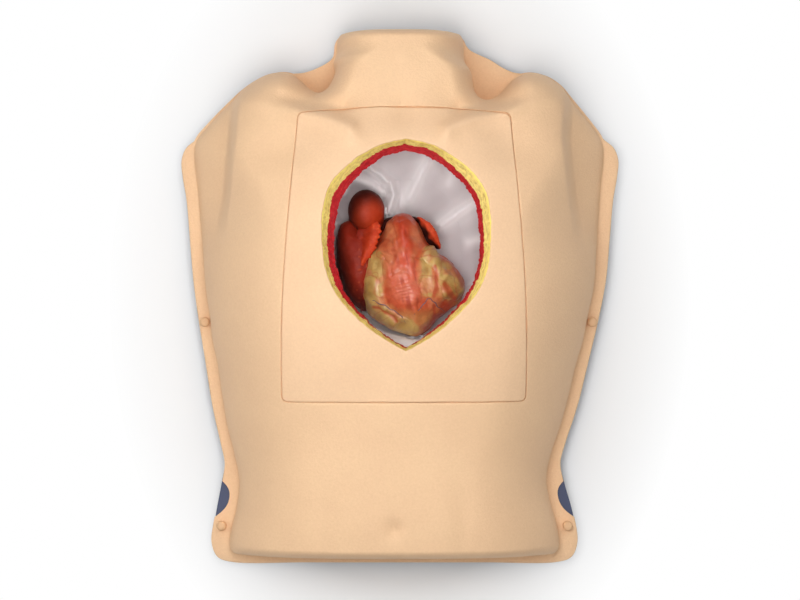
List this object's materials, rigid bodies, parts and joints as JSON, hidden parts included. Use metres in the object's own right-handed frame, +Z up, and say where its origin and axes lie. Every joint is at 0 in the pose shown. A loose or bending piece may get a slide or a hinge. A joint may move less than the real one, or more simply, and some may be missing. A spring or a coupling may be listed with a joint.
{
  "type": "heart surgery training model",
  "caption": "Supine half-torso trainer on a board: a pad with an opened chest incision over a soft heart in a cloth-lined tray.",
  "frame": {"origin": "middle of the model's footprint, on the surface that its feet stand on", "axes": "+X to the viewer's right, seen from above with the neck up; +Y towards the neck; +Z up, out of the chest"},
  "size_m": [0.4371, 0.5273, 0.1894],
  "materials": {
    "shell_plastic": "grained vacuum-formed plastic",
    "board_plastic": "smooth sheet plastic",
    "foot_rubber": "matte",
    "screw_steel": "zinc plated",
    "peg_plastic": "satin",
    "pad_skin": "soft matte silicone",
    "pad_fat": "satin silicone",
    "pad_muscle": "satin silicone",
    "tray_plastic": "satin",
    "lining_cloth": "matte woven",
    "heart_muscle": "glossy silicone",
    "heart_dark": "glossy silicone",
    "heart_bright": "glossy silicone",
    "heart_fat": "glossy silicone",
    "heart_vein": "glossy silicone"
  },
  "bodies": {
    "base": {"base_board": "board_plastic", "foot_upper_right": "foot_rubber", "foot_screw_upper_right": "screw_steel", "foot_upper_left": "foot_rubber", "foot_screw_upper_left": "screw_steel", "foot_lower_left": "foot_rubber", "foot_screw_lower_left": "screw_steel", "foot_lower_right": "foot_rubber", "foot_screw_lower_right": "screw_steel", "post_upper_right": "tray_plastic", "tray_screw_upper_right": "screw_steel", "post_screw_upper_right": "screw_steel", "post_upper_left": "tray_plastic", "tray_screw_upper_left": "screw_steel", "post_screw_upper_left": "screw_steel", "post_lower_left": "tray_plastic", "tray_screw_lower_left": "screw_steel", "post_screw_lower_left": "screw_steel", "post_lower_right": "tray_plastic", "tray_screw_lower_right": "screw_steel", "post_screw_lower_right": "screw_steel", "heart_tray": "tray_plastic", "pericardium_cloth": "lining_cloth"},
    "shell": {"torso_shell": "shell_plastic"},
    "chest_pad": {"chest_skin_pad": "pad_skin", "fat_layer": "pad_fat", "muscle_layer": "pad_muscle"},
    "heart": {"ventricles": "heart_muscle", "aorta_stump": "heart_dark", "right_atrium": "heart_dark", "left_atrium": "heart_dark", "right_atrial_appendage": "heart_bright", "left_atrial_appendage": "heart_bright", "heart_fat_right": "heart_fat", "heart_fat_left": "heart_fat", "heart_fat_lower": "heart_fat", "heart_vein_left": "heart_vein", "heart_vein_right": "heart_vein"},
    "peg_upper_left": {"peg_upper_left": "peg_plastic"},
    "peg_upper_right": {"peg_upper_right": "peg_plastic"},
    "peg_lower_left": {"peg_lower_left": "peg_plastic"},
    "peg_lower_right": {"peg_lower_right": "peg_plastic"}
  },
  "joints": [
    {"name": "shell_lift", "type": "slide", "parent": "base", "child": "shell", "axis": [0, 0, 1], "range_m": [0, 0.16]},
    {"name": "pad_lift", "type": "slide", "parent": "shell", "child": "chest_pad", "axis": [0, 0, 1], "range_m": [0, 0.08]},
    {"name": "heart_lift", "type": "slide", "parent": "base", "child": "heart", "axis": [0, 0, 1], "range_m": [0, 0.12]},
    {"name": "peg_pull_upper_left", "type": "slide", "parent": "shell", "child": "peg_upper_left", "axis": [0, 0, 1], "range_m": [0, 0.03]},
    {"name": "peg_pull_upper_right", "type": "slide", "parent": "shell", "child": "peg_upper_right", "axis": [0, 0, 1], "range_m": [0, 0.03]},
    {"name": "peg_pull_lower_left", "type": "slide", "parent": "shell", "child": "peg_lower_left", "axis": [0, 0, 1], "range_m": [0, 0.03]},
    {"name": "peg_pull_lower_right", "type": "slide", "parent": "shell", "child": "peg_lower_right", "axis": [0, 0, 1], "range_m": [0, 0.03]}
  ]
}
